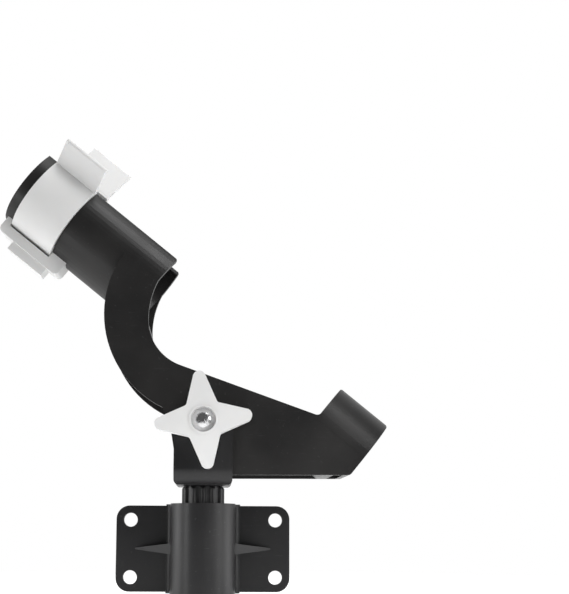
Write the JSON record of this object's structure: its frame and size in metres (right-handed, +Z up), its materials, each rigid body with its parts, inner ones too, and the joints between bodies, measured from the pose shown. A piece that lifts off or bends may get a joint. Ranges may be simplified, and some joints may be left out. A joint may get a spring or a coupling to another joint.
{
  "type": "rod holder",
  "caption": "Side-mounted fishing rod holder: open tube with a turning locking ring, reel gap and butt cup on an arm that tilts in a swivelling yoke over a wall base.",
  "frame": {"origin": "centre of the base plate's back face, which lies on the wall", "axes": "+X along the base plate towards the butt cup, +Y out of the back face into the wall, +Z up along the swivel post"},
  "size_m": [0.2216, 0.0804, 0.264],
  "materials": {
    "black_plastic": "satin black glass-filled nylon moulding",
    "arm_plastic": "satin black glass-filled nylon moulding, slightly greyer",
    "white_plastic": "plain white moulded nylon",
    "stainless": "plain stainless steel",
    "bright_bolt": "polished domed bolt head",
    "fibre": "rubber-bound fibre friction washer"
  },
  "bodies": {
    "base": {"base_plate": "black_plastic"},
    "swivel": {"spline_post": "black_plastic", "post_screw": "stainless", "yoke": "black_plastic", "friction_washers": "fibre", "pivot_nut": "stainless"},
    "holder": {"arm": "arm_plastic", "pivot_sleeve": "stainless", "ring_keeper": "white_plastic", "keeper_screws": "stainless"},
    "knob": {"star_knob": "white_plastic", "pivot_bolt": "bright_bolt", "knob_washer": "stainless"},
    "ring": {"locking_ring": "white_plastic"}
  },
  "joints": [
    {"name": "post_swivel", "type": "hinge", "parent": "base", "child": "swivel", "pos_m": [0, -0.022, 0.03], "axis": [0, 0, 1], "continuous": true},
    {"name": "arm_tilt", "type": "hinge", "parent": "swivel", "child": "holder", "pos_m": [0, -0.022, 0.0698], "axis": [0, -1, 0], "range_deg": [0, 60]},
    {"name": "knob_turn", "type": "hinge", "parent": "swivel", "child": "knob", "pos_m": [0, -0.022, 0.0698], "axis": [0, -1, 0], "continuous": true},
    {"name": "ring_turn", "type": "hinge", "parent": "holder", "child": "ring", "pos_m": [-0.07282, -0.022, 0.18693], "axis": [-0.7771, 0, 0.6293], "range_deg": [0, 98]}
  ]
}
